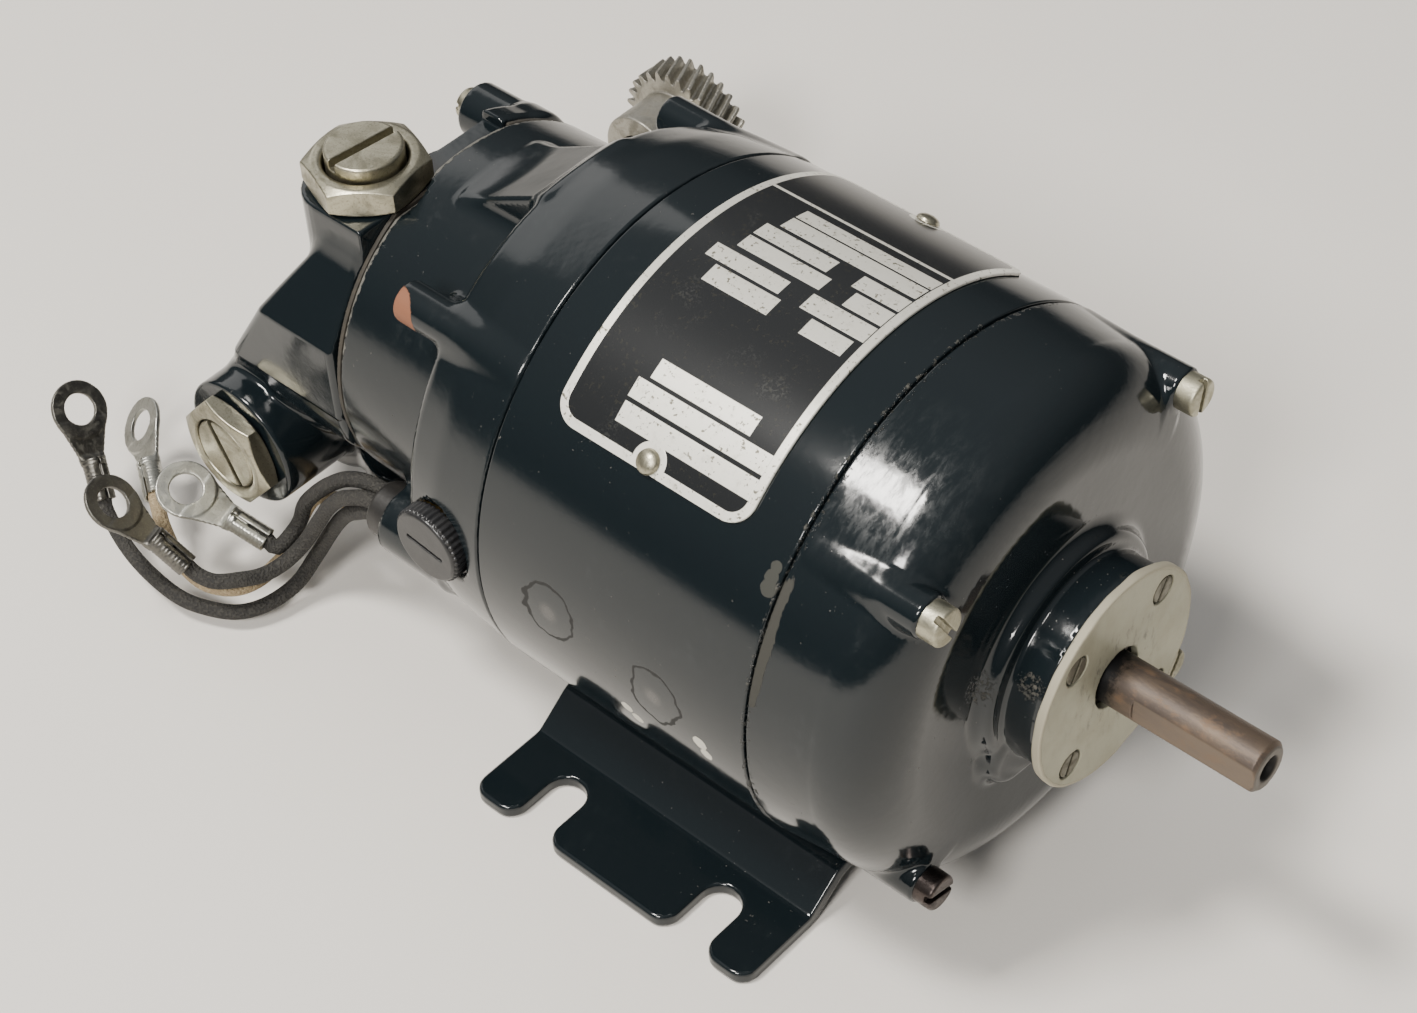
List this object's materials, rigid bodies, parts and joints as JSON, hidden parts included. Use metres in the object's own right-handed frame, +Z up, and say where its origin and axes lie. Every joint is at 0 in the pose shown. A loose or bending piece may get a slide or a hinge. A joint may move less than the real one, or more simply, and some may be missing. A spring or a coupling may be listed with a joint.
{
  "type": "right-angle gearmotor",
  "caption": "Brush gearmotor with a plain front shaft, and a double worm reducer driving a helical gear on a cross shaft at the rear, on a slotted foot plate.",
  "frame": {"origin": "centre of the box's footprint without the leads, on the ground plane", "axes": "+X along the motor shaft towards its plain front end, +Y along the cross shaft towards its gear, +Z up"},
  "size_m": [0.2117, 0.135, 0.0944],
  "materials": {
    "black_enamel": "glossy enamel, rubbed and chipped",
    "steel": "machined",
    "nickel": "dull yellowish plating",
    "worn_disc": "worn and stained",
    "brass": "plain",
    "bronze": "oiled",
    "copper": "varnished",
    "bakelite": "knurled, half gloss",
    "carbon": "matte",
    "rubber": "matte",
    "gasket_paper": "oiled paper",
    "tan_cloth": "braided cotton"
  },
  "bodies": {
    "frame": {"base_plate": "black_enamel", "motor_shell": "black_enamel", "front_end_shield": "black_enamel", "rear_end_shield": "black_enamel", "gear_housing": "black_enamel", "housing_gasket": "gasket_paper", "front_bearing_cap": "worn_disc", "bearing_cap_screw_1": "steel", "bearing_cap_screw_2": "steel", "bearing_cap_screw_3": "steel", "bearing_cap_screw_4": "steel", "through_bolt_1": "nickel", "through_bolt_2": "nickel", "through_bolt_3": "nickel", "through_bolt_4": "nickel", "front_ball_bearing": "steel", "rear_ball_bearing": "steel", "field_core": "steel", "field_coil_1": "copper", "field_coil_2": "copper", "brush_holder_near": "brass", "brush_holder_far": "brass", "brush_near": "carbon", "brush_far": "carbon", "brush_spring_near": "steel", "brush_spring_far": "steel", "brush_cap_near": "bakelite", "brush_cap_far": "bakelite", "nameplate": "nickel", "nameplate_rivet_1": "nickel", "nameplate_rivet_2": "nickel", "top_adjuster_screw": "nickel", "top_jam_nut": "nickel", "side_adjuster_screw": "nickel", "side_jam_nut": "nickel", "top_bush": "bronze", "bottom_bush": "bronze", "output_bush_near": "bronze", "output_bush_far": "bronze", "housing_screw_1": "steel", "housing_screw_2": "steel", "housing_screw_3": "steel", "lead_bushing": "rubber", "lead_1": "rubber", "lead_2": "tan_cloth", "lead_3": "rubber", "lead_4": "rubber", "ring_terminal_1": "nickel", "ring_terminal_2": "nickel", "ring_terminal_3": "nickel", "ring_terminal_4": "nickel"},
    "armature": {"motor_shaft": "steel", "armature_core": "steel", "armature_winding": "copper", "commutator": "copper"},
    "intermediate": {"intermediate_shaft": "steel", "first_worm_wheel": "bronze"},
    "output": {"output_shaft": "steel", "output_worm_wheel": "bronze", "output_gear": "steel"}
  },
  "joints": [
    {"name": "armature_spin", "type": "hinge", "parent": "frame", "child": "armature", "pos_m": [0, -0.0152, 0.051], "axis": [1, 0, 0], "continuous": true},
    {"name": "intermediate_spin", "type": "hinge", "parent": "frame", "child": "intermediate", "pos_m": [-0.06335, -0.0273, 0.051], "axis": [0, 0, 1], "continuous": true},
    {"name": "output_spin", "type": "hinge", "parent": "frame", "child": "output", "pos_m": [-0.07915, 0, 0.0291], "axis": [0, 1, 0], "continuous": true}
  ],
  "couplings": [
    {"joint": "intermediate_spin", "follows": "armature_spin", "ratio": 0.1},
    {"joint": "output_spin", "follows": "armature_spin", "ratio": 0.01}
  ]
}
